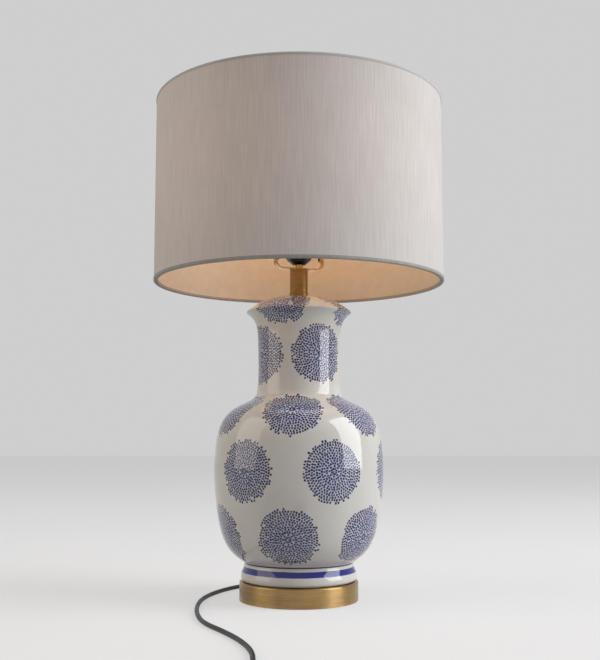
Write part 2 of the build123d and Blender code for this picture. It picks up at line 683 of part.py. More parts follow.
def plug_blades():
    face = PLUG_BOOT_LENGTH + PLUG_LENGTH
    blade = Box(BLADE_LENGTH, BLADE_SHEET, BLADE_WIDTH, align=(Align.MIN, Align.CENTER, Align.CENTER))
    blade = chamfer(blade.faces().sort_by(Axis.X)[-1].edges().filter_by(Axis.Z), 0.5)
    return [plug_place() * Pos(face, side * BLADE_SPACING / 2, 0) * blade for side in (-1, 1)]


def strain_relief():
    """The tapered rubber relief, snapped into the base cup's cord hole."""
    profile = lines(
        (0, 66.0), (4.7, 66.0), (4.7, 71.0), (6.0, 71.0), (6.0, 73.6), (4.9, 73.6),
        (3.4, EXIT_REACH), (0, EXIT_REACH), (0, 66.0),
    )
    relief = revolve(Plane.XY * make_face(Curve() + profile), Axis.Y, 360)
    relief = Pos(0, 0, EXIT_HEIGHT) * relief
    bore = side_rod(CORD_RADIUS + ROD_FIT, 60, EXIT_REACH + 5, EXIT_HEIGHT)
    return relief - base_cup() - bore


def inner_lead():
    """The cord inside the lamp, from the relief's tip up through the rod to the socket."""
    low = BOARD_TOP + CORD_RADIUS + 0.2
    top = SOCKET_BODY_HEIGHTS[0]
    route = [(0, EXIT_REACH, EXIT_HEIGHT), (0, 56, EXIT_HEIGHT), (0, 26, low), (0, 0, low), (0, 0, top)]
    return wire_along(FilletPolyline(*route, radius=[60, 60, ROD_BOTTOM - low]), CORD_RADIUS)


SINGLE_PARTS = [
    felt_pad, base_board, base_cup, foot_gasket, ceramic_jar, threaded_rod, bottom_washer, lock_washer,
    bottom_nut, seat_washer, neck_tube, check_ring, harp_saddle, harp_wire, harp_stud, finial, cap_bushing,
    socket_cap, set_screw, socket_shell, socket_liner, socket_body, screw_shell, centre_contact,
    switch_shaft, switch_knob, bulb_envelope, bulb_screw_base, bulb_insulator, bulb_contact, shade_fabric,
    shade_liner, shade_bottom_ring, shade_top_ring, shade_spider, shade_bottom_trim, shade_top_trim,
    strain_relief, inner_lead, cord_run, cord_coil, cord_tie, plug_body,
]
PAIRS = [terminal_screws, plug_blades]


def main():
    os.makedirs("parts", exist_ok=True)
    solids = {maker.__name__: maker() for maker in SINGLE_PARTS}
    solids["harp_sleeve_left"] = harp_sleeve(-1)
    solids["harp_sleeve_right"] = harp_sleeve(1)
    for maker in PAIRS:
        solids[maker.__name__] = Compound(children=maker())
    for node, solid in solids.items():
        export_step(solid, f"parts/{node}.step")
    print(len(solids), "nodes written")


main()
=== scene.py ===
import math
import bmesh
import bpy
import numpy as np
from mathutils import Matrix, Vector


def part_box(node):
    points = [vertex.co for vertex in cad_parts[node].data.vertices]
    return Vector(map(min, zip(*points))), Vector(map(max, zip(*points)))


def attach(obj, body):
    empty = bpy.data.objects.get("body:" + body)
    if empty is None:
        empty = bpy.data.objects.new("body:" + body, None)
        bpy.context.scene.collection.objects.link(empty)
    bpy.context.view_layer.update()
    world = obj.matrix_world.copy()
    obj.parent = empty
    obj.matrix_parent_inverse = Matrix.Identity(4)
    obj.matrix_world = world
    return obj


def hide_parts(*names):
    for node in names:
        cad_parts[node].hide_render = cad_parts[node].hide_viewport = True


# The looks of the bottle-shaped ceramic lamp. Lengths are written in millimetres and turned to
# metres where a mesh is made. The front is -Y.
MM = 0.001
PER_METRE = 1000.0
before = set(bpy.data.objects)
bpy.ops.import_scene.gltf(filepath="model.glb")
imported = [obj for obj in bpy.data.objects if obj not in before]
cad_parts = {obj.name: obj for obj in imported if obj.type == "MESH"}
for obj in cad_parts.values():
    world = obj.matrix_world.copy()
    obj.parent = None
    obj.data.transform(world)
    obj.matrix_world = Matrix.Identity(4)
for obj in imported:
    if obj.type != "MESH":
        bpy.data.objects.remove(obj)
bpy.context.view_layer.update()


# ---------------------------------------- camera and lights
CAMERA_PLACE = (0.0014, -1.1782, 0.1924)
CAMERA_TILT = 96.36
CAMERA_LENS = 52.54
SENSOR_WIDTH = 36.0
# (name, place, point it faces, width, height, watts, colour)
SOFTBOXES = [
    ("right softbox", (2.52, -0.60, 1.38), (0, 0, 0.30), 1.70, 2.80, 66.0, (0.97, 0.98, 1.0)),
    ("left softbox", (-2.54, -0.64, 1.38), (0, 0, 0.30), 2.00, 2.80, 24.0, (1.0, 0.88, 0.75)),
    ("overhead softbox", (0.10, 0.20, 1.80), (0, 0, 0.3), 1.0, 1.0, 3.0, (1.0, 1.0, 1.0)),
]


def in_scene(name, data):
    """A new object made of given data, linked into the scene."""
    thing = bpy.data.objects.new(name, data)
    bpy.context.scene.collection.objects.link(thing)
    return thing


def place_camera():
    """The photograph's view: 1.18 m away, 0.19 m up, tilted 6.36 degrees upwards."""
    data = bpy.data.cameras.new("camera")
    data.lens = CAMERA_LENS
    data.sensor_width = SENSOR_WIDTH
    data.sensor_fit = "AUTO"
    data.clip_start = 0.01
    data.clip_end = 60.0
    camera = in_scene("camera", data)
    camera.location = CAMERA_PLACE
    camera.rotation_euler = (math.radians(CAMERA_TILT), 0, 0)
    bpy.context.scene.camera = camera


def soft_light(name, place, aim, width, height, watts, colour):
    """A rectangular studio softbox that faces a point."""
    data = bpy.data.lights.new(name, "AREA")
    data.shape = "RECTANGLE"
    data.size = width
    data.size_y = height
    data.energy = watts
    data.color = colour
    light = in_scene(name, data)
    light.location = place
    light.rotation_euler = (Vector(aim) - Vector(place)).to_track_quat("-Z", "Y").to_euler()


place_camera()
bpy.context.scene.view_settings.view_transform = "Standard"
for softbox in SOFTBOXES:
    soft_light(*softbox)


# ---------------------------------------- arithmetic on node sockets
def fill(tree, slot, value):
    """Sets a node's slot to a value, or links a number or a socket to it."""
    if isinstance(value, Number):
        value = value.socket
    if isinstance(value, bpy.types.NodeSocket):
        tree.links.new(value, slot)
    else:
        slot.default_value = value


def placed(tree, kind, **inputs):
    """A new node of a tree with its inputs filled, an underscore in their names standing for a space."""
    node = tree.nodes.new(kind)
    for label, value in inputs.items():
        fill(tree, node.inputs[label.replace("_", " ")], value)
    return node


class Number:
    """A number that varies over a surface, with the usual signs for sums on it."""

    def __init__(self, tree, socket):
        self.tree = tree
        self.socket = socket

    def into(self, node, *others):
        """What a node makes of this number and others, which go into its first slots."""
        for slot, value in zip(node.inputs, (self, *others)):
            fill(self.tree, slot, value)
        return Number(self.tree, node.outputs[0])

    def through(self, operation, *others):
        """What an operation makes of this number and others."""
        node = self.tree.nodes.new("ShaderNodeMath")
        node.operation = operation
        return self.into(node, *others)

    def __add__(self, other):
        return self.through("ADD", other)

    def __sub__(self, other):
        return self.through("SUBTRACT", other)

    def __mul__(self, other):
        return self.through("MULTIPLY", other)

    def __truediv__(self, other):
        return self.through("DIVIDE", other)

    def between(self, low, high):
        """Moves low..high smoothly onto 0..1 and holds it there outside."""
        node = self.tree.nodes.new("ShaderNodeMapRange")
        node.interpolation_type = "SMOOTHSTEP"
        return self.into(node, low, high)

    def band(self, start, full, still, end):
        """Rises from 0 to 1 over start..full and falls back over still..end."""
        return self.between(start, full) * self.between(end, still)


def axes_of(tree, vector_socket, scale=1.0):
    """The three parts of a vector, as numbers, times a scale."""
    node = tree.nodes.new("ShaderNodeSeparateXYZ")
    tree.links.new(vector_socket, node.inputs[0])
    return [Number(tree, output) * scale for output in node.outputs]


def joined(tree, x, y, z=0.0):
    """A vector socket made of three numbers."""
    return placed(tree, "ShaderNodeCombineXYZ", X=x, Y=y, Z=z).outputs[0]


def noise_at(tree, detail, *place):
    """Soft noise from 0 to 1 at a place, given by two or three numbers."""
    node = placed(tree, "ShaderNodeTexNoise", Scale=1.0, Detail=detail, Vector=joined(tree, *place))
    return Number(tree, node.outputs["Fac"])


def chance_at(tree, *cell):
    """Three even random numbers from 0 to 1 that belong to one cell of a pattern."""
    node = placed(tree, "ShaderNodeTexWhiteNoise", Vector=joined(tree, *cell))
    return axes_of(tree, node.outputs["Color"])


def new_group(name, numbers, outputs, place=True):
    """A shader node group. It takes a place and (name, value) numbers, and gives numbers."""
    tree = bpy.data.node_groups.new(name, "ShaderNodeTree")
    if place:
        tree.interface.new_socket("Place", in_out="INPUT", socket_type="NodeSocketVector")
    for label, value in numbers:
        socket = tree.interface.new_socket(label, in_out="INPUT", socket_type="NodeSocketFloat")
        socket.default_value = value
    for label in outputs:
        tree.interface.new_socket(label, in_out="OUTPUT", socket_type="NodeSocketFloat")
    return tree, tree.nodes.new("NodeGroupInput").outputs, tree.nodes.new("NodeGroupOutput").inputs


def put_out(tree, way_out, **values):
    """Links numbers to a group's outputs, an underscore standing for a space."""
    for label, value in values.items():
        fill(tree, way_out[label.replace("_", " ")], value)


# ---------------------------------------- shared effects
def brushing_group():
    """Fine lines left round the lamp's axis by brushing a turned piece, with a few deeper ones."""
    tree, given, way_out = new_group("brushing", [("Lines per mm", 3.0)], ["Height", "Shade"])
    x, y, z = axes_of(tree, given["Place"], PER_METRE)
    close = Number(tree, given["Lines per mm"])
    radius = (x * x + y * y).through("SQRT")
    turn = y.through("ARCTAN2", x)
    fine = noise_at(tree, 3.0, radius * close, z * close, turn * 3.0)
    broad = noise_at(tree, 2.0, radius * 0.5, z * 0.5, turn * 1.3)
    put_out(tree, way_out, Height=fine, Shade=fine * 0.6 + broad * 0.4)
    return tree


def mottling_group():
    """Slow uneven patches and fine grain, for wear, dust and cast or moulded skins."""
    tree, given, way_out = new_group(
        "mottling", [("Patch mm", 12.0), ("Grain mm", 0.6)], ["Patches", "Grain"])
    x, y, z = axes_of(tree, given["Place"], PER_METRE)
    patch = Number(tree, given["Patch mm"])
    grain = Number(tree, given["Grain mm"])
    put_out(
        tree, way_out,
        Patches=noise_at(tree, 3.0, x / patch, y / patch, z / patch).between(0.3, 0.7),
        Grain=noise_at(tree, 2.0, x / grain, y / grain, z / grain),
    )
    return tree


def weave_group():
    """A plain linen weave with slubs: Around and Up are millimetres along the cloth."""
    tree, given, way_out = new_group(
        "linen weave", [("Around", 0.0), ("Up", 0.0), ("Yarn mm", 0.75)], ["Height", "Slub"], place=False)
    around, up, yarn = (Number(tree, given[label]) for label in ("Around", "Up", "Yarn mm"))
    # The upright yarns wander a little, and soft streaks, long along the yarns, stand for the slubs.
    wander = noise_at(tree, 2.0, around * 0.25, up * 0.02)
    warp = ((around + wander * 0.8) / yarn * math.pi).through("SINE").through("ABSOLUTE")
    weft = (up / yarn * math.pi).through("SINE").through("ABSOLUTE")
    upright = noise_at(tree, 4.0, around * 0.50, up * 0.022).between(0.25, 0.75)
    level = noise_at(tree, 3.0, around * 0.012, up * 0.6).between(0.25, 0.75)
    height = warp * 0.5 + weft * 0.3 + upright * 0.9
    put_out(tree, way_out, Height=height, Slub=upright * 0.85 + level * 0.15)
    return tree


# Rows of medallions: (lowest and highest rise of the row, rise of its middle, medallions round, degrees
# of the first from the front, and the degrees by which the others are unevenly spaced).
MEDALLION_ROWS = [
    (-5.0, 83.0, 46.0, 6, -7.2, 0.0),
    (83.0, 158.0, 122.0, 6, -37.2, 0.0),
    (158.0, 238.0, 196.5, 6, -5.2, 2.0),
    (238.0, 316.0, 280.6, 4, 30.9, 4.1),
    (316.0, 500.0, 351.0, 4, -22.0, 6.0),
]
LAST_RING = 11.0
DABS_PER_RING = 5.6
DABS_SHORT = 0.6
PETALS = 5.5
PETAL_DEPTH = 0.022
PETAL_TWIST = 0.16
LAST_RING_SHARE = 0.96
FRAYED_SHARE = 0.45
SIDE_SLIP = 0.55
OUTWARD_SLIP = 0.7
LEAN = 0.7
SMALLEST_DAB = 0.90
DAB_SPREAD = 0.26


def medallion_group():
    """Round dotted medallions in five staggered rows.

    Each is a centre dot with rings of short brush dabs, pointing outwards. Rise is the length along
    the jar's outline from the foot's groove, in millimetres, and Place is the point on the jar.
    """
    numbers = [("Rise", 0.0), ("Ring gap mm", 2.93), ("Dab length mm", 1.47), ("Dab width mm", 1.17)]
    tree, given, way_out = new_group("dotted medallions", numbers, ["Dabs", "Tint", "Strength"])
    x, y, _ = axes_of(tree, given["Place"], PER_METRE)
    rise, gap, dab_length, dab_width = (Number(tree, given[label]) for label, _ in numbers)
    girth = (x * x + y * y).through("SQRT")
    turn = x.through("ARCTAN2", y * -1.0)

    # The row that a point is in sets the height of its middle, how many stand round, and their start.
    middle, apart, start, warp, painted = (rise * 0.0 for _ in range(5))
    for low, high, row_middle, count, degrees, uneven in MEDALLION_ROWS:
        here = rise.through("GREATER_THAN", low) * rise.through("LESS_THAN", high)
        middle = middle + here * row_middle
        apart = apart + here * (2 * math.pi / count)
        start = start + here * math.radians(degrees)
        warp = warp + here * math.radians(uneven)
        painted = painted + here
    steps = (turn - start) / apart
    which = (steps - warp * (steps * apart).through("SINE") / apart).through("ROUND")
    along = ((steps - which) * apart - warp * (which * apart).through("SINE")) * girth
    up = rise - middle
    spread = (along * along + up * up).through("SQRT")
    heading = up.through("ARCTAN2", along)

    # Rings follow a slightly scalloped circle, like the petals of a dahlia.
    petals = (heading * PETALS + spread * PETAL_TWIST + which * 2.1).through("SINE").through("ABSOLUTE")
    waved = spread + (petals - 0.6) * spread * PETAL_DEPTH
    ring = (waved / gap).through("ROUND")
    # Two rings at a time share their count of dabs, set half a step apart.
    pair = ((ring + 1.0) * 0.5).through("FLOOR")
    in_ring = ((pair * 2.0 - DABS_SHORT) * DABS_PER_RING).through("ROUND").through("MAXIMUM", 1.0)
    pair_turn = chance_at(tree, pair, which, middle)[0]
    cell = heading / (2 * math.pi) * in_ring + pair_turn + ring * 0.5
    number = cell.through("FLOOR")
    # Chance moves and leans each dab, and sets its size, its strength and whether it is there.
    luck = chance_at(tree, number, ring * 7.0 + which, middle + 3.0)
    more_luck = chance_at(tree, number + 40.0, ring, middle + which * 5.0)

    pitch = spread * (2 * math.pi) / in_ring
    across = (cell - number - 0.5) * pitch + (luck[0] - 0.5) * SIDE_SLIP
    outward = waved - ring * gap + (luck[1] - 0.5) * OUTWARD_SLIP
    lean = (luck[2] - 0.5) * LEAN
    turned_across = across * lean.through("COSINE") - outward * lean.through("SINE")
    turned_out = across * lean.through("SINE") + outward * lean.through("COSINE")
    size = more_luck[0] * DAB_SPREAD + SMALLEST_DAB
    dx = turned_across / (dab_width * size)
    dy = turned_out / (dab_length * size)
    far = (dx * dx + dy * dy).through("SQRT")
    dab = far.between(1.10, 0.86)

    # The middle dot, the full rings, a last ring with a dab missing here and there,
    # and outside it about half of one more, which frays the edge.
    full = ring.through("LESS_THAN", LAST_RING - 0.5)
    last = ring.through("COMPARE", LAST_RING, 0.1) * more_luck[1].through("LESS_THAN", LAST_RING_SHARE)
    stray = ring.through("COMPARE", LAST_RING + 1.0, 0.1) * more_luck[1].through("LESS_THAN", FRAYED_SHARE)
    there = full + last + stray
    # The cobalt bleeds a little into the glaze round each dab, and more towards the middle.
    halo = far.between(2.1, 0.9) * there
    tint = (halo * 0.55 + waved.between(gap * (LAST_RING + 0.6), gap * 5.0) * 0.45) * painted
    dabs = dab * there * painted
    put_out(tree, way_out, Dabs=dabs, Tint=tint, Strength=more_luck[2])
    return tree


BRUSHING = brushing_group()
MOTTLING = mottling_group()
WEAVE = weave_group()
MEDALLIONS = medallion_group()


# ---------------------------------------- materials
class Finish:
    """A material being made: its tree, its one Principled shader and the places of its surface."""

    def __init__(self, name, colour, roughness, metallic=0.0, **plain):
        self.material = bpy.data.materials.new(name)
        self.material.use_nodes = True
        self.tree = self.material.node_tree
        self.shader = self.tree.nodes["Principled BSDF"]
        self.put("Base Color", (*colour, 1.0))
        self.put("Roughness", roughness)
        self.put("Metallic", metallic)
        for label, value in plain.items():
            self.put(label.replace("_", " "), value)
        self.place = self.tree.nodes.new("ShaderNodeTexCoord").outputs["Object"]

    def put(self, label, value):
        """Sets one of the shader's inputs, or links a number or a colour socket to it."""
        fill(self.tree, self.shader.inputs[label], value)

    def group(self, group, place=True, **values):
        """Adds one of the shared effects and gives its outputs as numbers."""
        node = self.tree.nodes.new("ShaderNodeGroup")
        node.node_tree = group
        if place:
            self.tree.links.new(self.place, node.inputs["Place"])
        for label, value in values.items():
            fill(self.tree, node.inputs[label.replace("_", " ")], value)
        return {output.name: Number(self.tree, output) for output in node.outputs}

    def colours(self, fraction, *stops):
        """A colour socket that goes through (position, colour) stops."""
        ramp = self.tree.nodes.new("ShaderNodeValToRGB")
        elements = ramp.color_ramp.elements
        while len(elements) < len(stops):
            elements.new(0.5)
        for element, (position, colour) in zip(elements, stops):
            element.position = position
            element.color = (*colour, 1.0)
        self.tree.links.new(fraction.socket, ramp.inputs["Fac"])
        return ramp.outputs["Color"]

    def mixed(self, fraction, first, second):
        """A colour socket between two, each a colour or a socket."""
        node = self.tree.nodes.new("ShaderNodeMix")
        node.data_type = "RGBA"
        self.tree.links.new(fraction.socket, node.inputs[0])
        for slot, colour in ((node.inputs[6], first), (node.inputs[7], second)):
            fill(self.tree, slot, (*colour, 1.0) if isinstance(colour, tuple) else colour)
        return node.outputs[2]

    def paint(self, fraction, *stops):
        """Colours the surface along (position, colour) stops."""
        self.put("Base Color", self.colours(fraction, *stops))

    def bump(self, height, distance_mm, strength):
        """Raises the surface by height, a number from 0 to 1, times a distance."""
        node = placed(
            self.tree, "ShaderNodeBump", Strength=strength, Distance=distance_mm * MM, Height=height)
        self.put("Normal", node.outputs["Normal"])


def turned_metal(name, light, dark, roughness, lines, depth, stretch):
    """Metal brushed round the lamp's axis, darker where its old patina lies in patches."""
    finish = Finish(name, light, roughness, 1.0, Anisotropic=stretch, Anisotropic_Rotation=0.25)
    brushed = finish.group(BRUSHING, Lines_per_mm=lines)
    worn = finish.group(MOTTLING, Patch_mm=26.0, Grain_mm=0.4)
    finish.paint(brushed["Shade"] * 0.85 + worn["Patches"] * 0.15, (0.2, dark), (0.7, light))
    finish.put("Roughness", brushed["Shade"] * 0.16 + worn["Patches"] * 0.06 + (roughness - 0.10))
    finish.bump(brushed["Height"], depth, 0.6)
    return finish.material


def plain_metal(name, light, dark, roughness, patch=9.0):
    """Plated or bright metal with faint handling marks."""
    finish = Finish(name, light, roughness, 1.0)
    worn = finish.group(MOTTLING, Patch_mm=patch, Grain_mm=0.25)
    finish.paint(worn["Patches"], (0.1, dark), (0.8, light))
    finish.put("Roughness", worn["Patches"] * 0.10 + worn["Grain"] * 0.06 + (roughness - 0.08))
    finish.bump(worn["Grain"], 0.01, 0.4)
    return finish.material


def moulded(name, colour, worn_colour, roughness, grain=0.5, depth=0.03, **plain):
    """Plastic, rubber, card or lacquer with its own grain and slightly dusty patches."""
    finish = Finish(name, colour, roughness, **plain)
    skin = finish.group(MOTTLING, Patch_mm=11.0, Grain_mm=grain)
    finish.paint(skin["Patches"] * 0.7 + skin["Grain"] * 0.3, (0.2, colour), (0.9, worn_colour))
    finish.put("Roughness", skin["Patches"] * 0.10 + skin["Grain"] * 0.08 + (roughness - 0.07))
    finish.bump(skin["Grain"], depth, 0.5)
    return finish.material


# Colours of the glaze, and heights of the foot's line and of the painted shadow in its groove.
GLAZE_WHITE = (0.80, 0.78, 0.73)
GLAZE_DEEPER = (0.79, 0.765, 0.71)
GLAZE_PALER = (0.83, 0.81, 0.765)
GLAZE_BLUED = (0.47, 0.51, 0.76)
COBALT_DARK = (0.001, 0.002, 0.050)
COBALT_LIGHT = (0.003, 0.008, 0.135)
LINE_COBALT = (0.001, 0.007, 0.27)
GROOVE_SHADOW = (0.05, 0.05, 0.11)
# (starts, is full, is still full, ends)
LINE_HEIGHTS = (33.7, 34.5, 40.2, 41.0)
GROOVE_SHADOW_HEIGHTS = (43.7, 44.5, 45.4, 46.6)


def glaze_finish():
    """Warm white glaze over cobalt dabs, with the cobalt line round the foot and a painted shadow in its
    groove.
    """
    finish = Finish("warm white glaze with cobalt", GLAZE_WHITE, 0.07, IOR=1.6)
    tree = finish.tree
    rise_node = tree.nodes.new("ShaderNodeAttribute")
    rise_node.attribute_name = "rise"
    rise = Number(tree, rise_node.outputs["Fac"])
    pattern = finish.group(MEDALLIONS, Rise=rise)
    skin = finish.group(MOTTLING, Patch_mm=38.0, Grain_mm=7.0)
    white = finish.colours(skin["Patches"], (0.0, GLAZE_DEEPER), (1.0, GLAZE_PALER))
    tinted = finish.mixed(pattern["Tint"] * 0.85, white, GLAZE_BLUED)
    cobalt = finish.colours(pattern["Strength"], (0.0, COBALT_DARK), (1.0, COBALT_LIGHT))
    dotted = finish.mixed(pattern["Dabs"], tinted, cobalt)
    x, y, z = axes_of(tree, finish.place, PER_METRE)
    hand = noise_at(tree, 2.0, x * 0.05, y * 0.05, z * 0.05)
    height = z + (hand - 0.5) * 1.2
    foot = finish.mixed(height.band(*LINE_HEIGHTS), dotted, LINE_COBALT)
    # The groove is painted dark: a painted shadow under the belly's overhang.
    groove = z.band(*GROOVE_SHADOW_HEIGHTS)
    finish.put("Base Color", finish.mixed(groove * 0.85, foot, GROOVE_SHADOW))
    finish.put("Roughness", skin["Patches"] * 0.03 + 0.06)
    finish.bump(skin["Grain"], 0.035, 0.5)
    return finish.material


# Painted glow on the linen, which stands in for the bulb's light coming through it, where it is far from
# the bulb and near it.
GLOW_FAR = (0.55, 0.25, 0.12)
GLOW_NEAR = (1.0, 0.50, 0.27)
# How far up the drum it is at its brightest: (starts, is full, is still full, ends).
GLOW_BAND = (-10.0, 120.0, 150.0, 290.0)


def linen_finish(name, light, dark, yarn, depth, glow):
    """White linen: yarns and slubs that follow the cloth's own map, with a painted glow for the bulb's
    light coming through.
    """
    finish = Finish(name, light, 0.85, Sheen_Weight=0.25, Sheen_Roughness=0.5)
    flat = finish.tree.nodes.new("ShaderNodeUVMap")
    flat.uv_map = "cloth"
    around, up, _ = axes_of(finish.tree, flat.outputs["UV"], PER_METRE)
    cloth = finish.group(WEAVE, place=False, Around=around, Up=up, Yarn_mm=yarn)
    fuzz = finish.group(MOTTLING, Patch_mm=60.0, Grain_mm=0.5)
    finish.paint(cloth["Slub"] * 0.75 + fuzz["Patches"] * 0.25, (0.05, dark), (0.95, light))
    finish.put("Roughness", cloth["Slub"] * 0.1 + 0.78)
    finish.bump(cloth["Height"] + fuzz["Grain"] * 0.3, depth, 0.7)
    if glow:
        # Painted light: emission on the cloth stands in for the bulb's light shining through the shade.
        painted_glow_share = up.band(*GLOW_BAND) * 0.85 + cloth["Slub"] * 0.15
        lit = finish.colours(painted_glow_share, (0.0, GLOW_FAR), (1.0, GLOW_NEAR))
        finish.put("Emission Color", lit)
        finish.put("Emission Strength", glow)
    return finish.material


def felt_finish():
    """Short dense fibres, with a soft sheen."""
    finish = Finish("black felt", (0.012, 0.012, 0.013), 0.96, Sheen_Weight=0.4, Sheen_Roughness=0.7)
    fibres = finish.group(MOTTLING, Patch_mm=5.0, Grain_mm=0.22)
    finish.paint(fibres["Grain"], (0.3, (0.006, 0.006, 0.007)), (0.8, (0.035, 0.035, 0.038)))
    finish.bump(fibres["Grain"], 0.35, 1.0)
    return finish.material


def lit_glass_finish():
    """Frosted glass of the lit bulb, dimmer at its neck than in its globe."""
    finish = Finish("lit frosted glass", (0.95, 0.88, 0.76), 0.35)
    worn = finish.group(MOTTLING, Patch_mm=20.0, Grain_mm=0.3)
    _, _, z = axes_of(finish.tree, finish.place, PER_METRE)
    glow = z.between(470.0, 505.0) * 0.9 + worn["Patches"] * 0.1
    lit = finish.colours(glow, (0.0, (0.50, 0.17, 0.03)), (1.0, (1.0, 0.44, 0.075)))
    finish.put("Emission Color", lit)
    finish.put("Emission Strength", 9.5)
    finish.put("Roughness", worn["Grain"] * 0.1 + 0.3)
    return finish.material


def cord_finish(name, colour, worn_colour):
    """Soft plastic that handling has made shiny in places."""
    finish = Finish(name, colour, 0.45)
    skin = finish.group(MOTTLING, Patch_mm=16.0, Grain_mm=0.5)
    finish.paint(skin["Patches"], (0.1, colour), (0.9, worn_colour))
    finish.put("Roughness", skin["Patches"] * 0.12 + skin["Grain"] * 0.06 + 0.36)
    finish.bump(skin["Grain"], 0.03, 0.5)
    return finish.material


BRASS = turned_metal(
    "brushed antique brass", (0.47, 0.31, 0.135), (0.19, 0.115, 0.047), 0.33, 3.2, 0.03, 0.8)
FINE_BRASS = turned_metal(
    "satin brass tube", (0.40, 0.235, 0.09), (0.17, 0.09, 0.03), 0.34, 5.0, 0.004, 0.92)
BRIGHT_BRASS = plain_metal("bright brass", (0.75, 0.53, 0.23), (0.50, 0.32, 0.12), 0.24)
STEEL = plain_metal("zinc-plated steel", (0.62, 0.62, 0.60), (0.40, 0.40, 0.40), 0.34)
NICKEL = plain_metal("nickel plate", (0.70, 0.69, 0.65), (0.52, 0.50, 0.46), 0.22)
RUBBER = moulded("black rubber gasket", (0.012, 0.012, 0.012), (0.03, 0.03, 0.03), 0.7)
PHENOLIC = moulded("black phenolic", (0.006, 0.006, 0.007), (0.015, 0.014, 0.014), 0.22, 0.9, 0.008)
LACQUER = moulded("black lacquer", (0.010, 0.010, 0.011), (0.022, 0.021, 0.020), 0.32, 0.7, 0.012)
CARD = moulded("insulating card", (0.33, 0.23, 0.13), (0.42, 0.31, 0.19), 0.85, 0.35, 0.05)
HARDBOARD = moulded("brown hardboard", (0.20, 0.115, 0.055), (0.28, 0.17, 0.09), 0.75, 0.3, 0.06)
PORCELAIN = moulded("socket porcelain", (0.72, 0.69, 0.62), (0.80, 0.78, 0.72), 0.25, 1.2, 0.01)
BLACK_GLASS = moulded("black glass", (0.008, 0.008, 0.012), (0.02, 0.02, 0.025), 0.12, 0.8, 0.004)
STYRENE = moulded("white styrene lining", (0.79, 0.745, 0.645), (0.83, 0.79, 0.70), 0.42, 1.5, 0.02)
COATED_WIRE = moulded("white coated wire", (0.76, 0.75, 0.71), (0.82, 0.81, 0.78), 0.33, 0.5, 0.02)
PLUG_PLASTIC = moulded("black moulded plug", (0.010, 0.010, 0.011), (0.028, 0.028, 0.028), 0.48, 0.4, 0.03)
TIE_PLASTIC = moulded("black tie", (0.014, 0.014, 0.014), (0.035, 0.035, 0.035), 0.6, 0.3, 0.05)
GLAZE = glaze_finish()
LINEN = linen_finish("white linen", (0.78, 0.77, 0.755), (0.66, 0.645, 0.625), 0.75, 0.12, 0.085)
# The bottom strip is the same linen painted darker: painted shade where the fold turns under the drum's
# edge.
SHADED_LINEN_EDGE = linen_finish(
    "folded linen at the bottom, painted darker as shade", (0.53, 0.51, 0.475), (0.38, 0.362, 0.335), 0.6, 0.10, 0.0)
LINEN_FOLD = linen_finish(
    "folded linen at the top", (0.70, 0.69, 0.67), (0.58, 0.565, 0.545), 0.6, 0.10, 0.0)
FELT = felt_finish()
LIT_GLASS = lit_glass_finish()
CORD_PLASTIC = cord_finish("black cord plastic", (0.010, 0.010, 0.010), (0.024, 0.024, 0.024))


# ---------------------------------------- floor and backdrop
FLOOR_HALF = 9.0
FLOOR_LEVEL = -0.2 * MM
FLOOR_GREYS = ((0.44, 0.44, 0.445), (0.46, 0.46, 0.46))
FLOOR_GLOW = 0.50
SURROUND_LIGHT = (0.17, 0.17, 0.175, 1)
SURROUND_SEEN = (0.62, 0.62, 0.62, 1)


def looked_at(tree):
    """1 for rays from the eye, or by way of a reflection or glass, and 0 for light on the object."""
    rays = tree.nodes.new("ShaderNodeLightPath").outputs
    seen = Number(tree, rays["Is Camera Ray"])
    for other in ("Is Glossy Ray", "Is Transmission Ray"):
        seen = seen.through("MAXIMUM", Number(tree, rays[other]))
    return seen


def see_through_from_below(finish):
    """Lets the eye look up through the floor at the underside."""
    nodes, links = finish.tree.nodes, finish.tree.links
    either = nodes.new("ShaderNodeMixShader")
    links.new(nodes.new("ShaderNodeNewGeometry").outputs["Backfacing"], either.inputs["Fac"])
    links.new(finish.shader.outputs["BSDF"], either.inputs[1])
    links.new(nodes.new("ShaderNodeBsdfTransparent").outputs["BSDF"], either.inputs[2])
    links.new(either.outputs["Shader"], nodes["Material Output"].inputs["Surface"])


def studio():
    """A pale floor that keeps the shadows, and a pale surround seen by the eye and in reflections."""
    finish = Finish("pale studio floor", (0.62, 0.62, 0.62), 0.7)
    grain = finish.group(MOTTLING, Patch_mm=600.0, Grain_mm=4.0)
    finish.paint(grain["Patches"], (0.0, FLOOR_GREYS[0]), (1.0, FLOOR_GREYS[1]))
    finish.put("Specular IOR Level", 0.0)
    finish.put("Emission Color", (1.0, 1.0, 1.0, 1.0))
    finish.put("Emission Strength", looked_at(finish.tree) * FLOOR_GLOW)
    see_through_from_below(finish)
    mesh = bpy.data.meshes.new("floor")
    signs = ((-1, -1), (1, -1), (1, 1), (-1, 1))
    corners = [(x * FLOOR_HALF, y * FLOOR_HALF, FLOOR_LEVEL) for x, y in signs]
    mesh.from_pydata(corners, [], [(0, 1, 2, 3)])
    mesh.materials.append(finish.material)
    floor = in_scene("floor", mesh)

    world = bpy.data.worlds.new("studio")
    bpy.context.scene.world = world
    world.use_nodes = True
    tree = world.node_tree
    colour = tree.nodes.new("ShaderNodeMix")
    colour.data_type = "RGBA"
    fill(tree, colour.inputs[0], looked_at(tree))
    fill(tree, colour.inputs[6], SURROUND_LIGHT)
    fill(tree, colour.inputs[7], SURROUND_SEEN)
    fill(tree, tree.nodes["Background"].inputs["Color"], colour.outputs[2])
    tree.nodes["Background"].inputs["Strength"].default_value = 1.0


studio()


